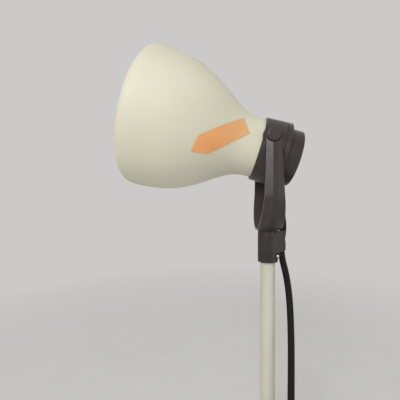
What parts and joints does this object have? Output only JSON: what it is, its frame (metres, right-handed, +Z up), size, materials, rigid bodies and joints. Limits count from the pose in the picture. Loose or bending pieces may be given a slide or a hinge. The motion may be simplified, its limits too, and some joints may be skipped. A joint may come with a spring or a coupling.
{
  "type": "tilting lamp head",
  "caption": "Bell-shaded reading lamp head tilting in a fork on the top of a slim pole, with lampholder, bulb, mains cord and plug.",
  "frame": {"origin": "centre of the pole section's threaded lower end, on the pole's axis", "axes": "+Z up along the pole, Y along the fork's pivot, the shade's mouth faces -X"},
  "size_m": [0.2123, 0.115, 0.356],
  "materials": {
    "pole_paint": "cream powder coat, satin",
    "steel": "zinc-plated steel",
    "taupe_plastic": "dark taupe grey, fine moulded texture",
    "washer_plastic": "black nylon",
    "shade_plastic": "cream, matt moulded",
    "flag_paper": "orange page-marker film, matt",
    "black_rubber": "black",
    "brass": "plain brass",
    "holder_plastic": "off-white thermoplastic",
    "brass_nickel": "nickel-plated brass",
    "bulb_glass": "opal white glass",
    "cord_pvc": "black PVC, satin",
    "tie_fabric": "black hook-and-loop strap"
  },
  "bodies": {
    "pole": {"pole_tube": "pole_paint", "pole_foot_bush": "steel", "pole_top_bush": "steel", "pole_socket": "taupe_plastic", "clamp_screw": "steel", "yoke": "taupe_plastic", "yoke_screw": "steel", "friction_washers": "washer_plastic", "pivot_caps": "taupe_plastic", "head_lead": "cord_pvc", "cord_run": "cord_pvc", "cord_tail": "cord_pvc", "cord_coil": "cord_pvc", "cord_tie": "tie_fabric", "plug_body": "cord_pvc", "plug_boot": "cord_pvc", "plug_pins": "brass_nickel"},
    "head": {"spring_washers": "steel", "pivot_bolts": "steel", "pivot_nuts": "steel", "shade": "shade_plastic", "page_flag": "flag_paper", "collar": "taupe_plastic", "collar_ring": "taupe_plastic", "rear_cap": "taupe_plastic", "cap_screws": "steel", "lead_gland": "black_rubber", "holder_bracket": "steel", "bracket_screws": "steel", "nipple": "steel", "nipple_nut": "brass", "lampholder_base": "holder_plastic", "terminal_screws": "brass", "lampholder_shell": "holder_plastic", "shade_ring": "holder_plastic", "screw_shell": "brass", "centre_contact": "brass"},
    "bulb": {"bulb_cap": "brass_nickel", "bulb_contact": "steel", "bulb_glass": "bulb_glass"}
  },
  "joints": [
    {"name": "head_tilt", "type": "hinge", "parent": "pole", "child": "head", "pos_m": [-0.0009, 0, 0.2821], "axis": [0, 1, 0], "range_deg": [-50, 60], "deforming": ["head_lead"]},
    {"name": "bulb_unscrew", "type": "hinge", "parent": "head", "child": "bulb", "pos_m": [-0.00884, 0, 0.27761], "axis": [-0.9622, 0, 0.2723], "continuous": true}
  ]
}
